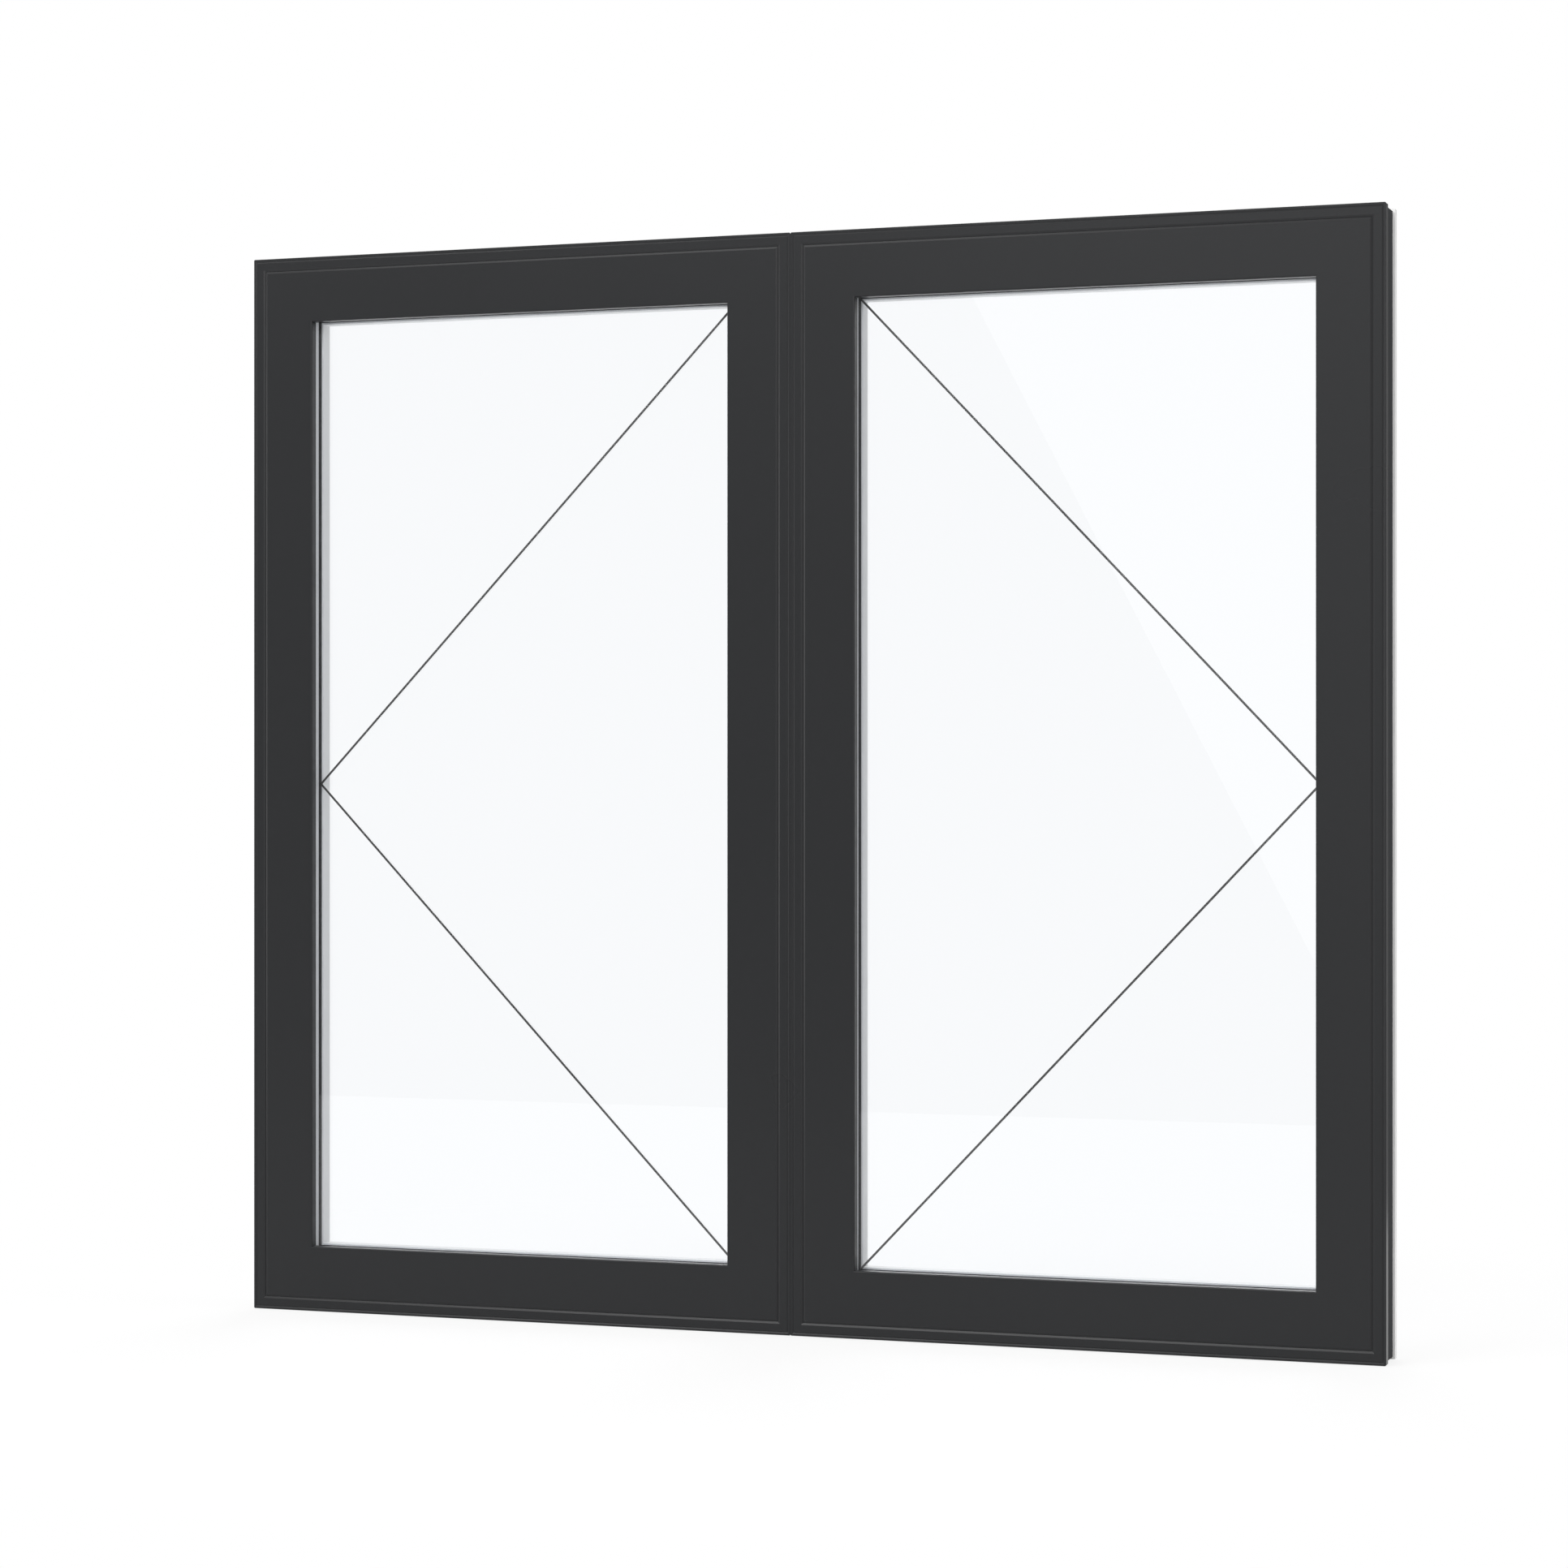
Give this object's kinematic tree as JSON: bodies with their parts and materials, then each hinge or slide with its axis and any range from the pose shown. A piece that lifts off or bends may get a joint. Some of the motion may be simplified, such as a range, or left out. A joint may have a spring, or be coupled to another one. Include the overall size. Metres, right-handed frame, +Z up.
{
  "type": "double casement window",
  "caption": "Double casement window of coupled lights, dark aluminium outside and white timber inside, with clear double glazing and lever handles.",
  "frame": {"origin": "on the underside of the inner sill, at the middle of the window's width and of that face's depth", "axes": "+X to the right as seen from outside, +Y from outside into the room, +Z up"},
  "size_m": [1.3, 0.0885, 1.2],
  "materials": {
    "anthracite_coat": "satin powder coat on aluminium",
    "white_paint": "white satin paint on timber",
    "dark_core": "matte dark insulating core",
    "clear_glass": "clear float glass",
    "grey_spacer": "mill grey edge spacer",
    "black_rubber": "matte black rubber",
    "satin_handle": "satin anodised"
  },
  "bodies": {
    "root": {"left_frame_cladding_left": "anthracite_coat", "left_inner_frame_left": "white_paint", "left_sash_cladding_left": "anthracite_coat", "left_frame_cladding_right": "anthracite_coat", "left_inner_frame_right": "white_paint", "left_sash_cladding_right": "anthracite_coat", "left_frame_cladding_bottom": "anthracite_coat", "left_inner_frame_bottom": "white_paint", "left_sash_cladding_bottom": "anthracite_coat", "left_frame_cladding_top": "anthracite_coat", "left_inner_frame_top": "white_paint", "left_sash_cladding_top": "anthracite_coat", "left_core_jambs": "dark_core", "left_core_rails": "dark_core", "left_sash_stiles": "white_paint", "left_sash_rails": "white_paint", "left_glass_panes": "clear_glass", "left_glass_spacer": "grey_spacer", "left_glazing_tapes": "black_rubber", "left_weather_seal": "black_rubber", "left_handle_base": "satin_handle", "left_handle_lever": "satin_handle", "right_frame_cladding_left": "anthracite_coat", "right_inner_frame_left": "white_paint", "right_sash_cladding_left": "anthracite_coat", "right_frame_cladding_right": "anthracite_coat", "right_inner_frame_right": "white_paint", "right_sash_cladding_right": "anthracite_coat", "right_frame_cladding_bottom": "anthracite_coat", "right_inner_frame_bottom": "white_paint", "right_sash_cladding_bottom": "anthracite_coat", "right_frame_cladding_top": "anthracite_coat", "right_inner_frame_top": "white_paint", "right_sash_cladding_top": "anthracite_coat", "right_core_jambs": "dark_core", "right_core_rails": "dark_core", "right_sash_stiles": "white_paint", "right_sash_rails": "white_paint", "right_glass_panes": "clear_glass", "right_glass_spacer": "grey_spacer", "right_glazing_tapes": "black_rubber", "right_weather_seal": "black_rubber", "right_handle_base": "satin_handle", "right_handle_lever": "satin_handle", "coupling_strip": "dark_core"}
  },
  "joints": []
}
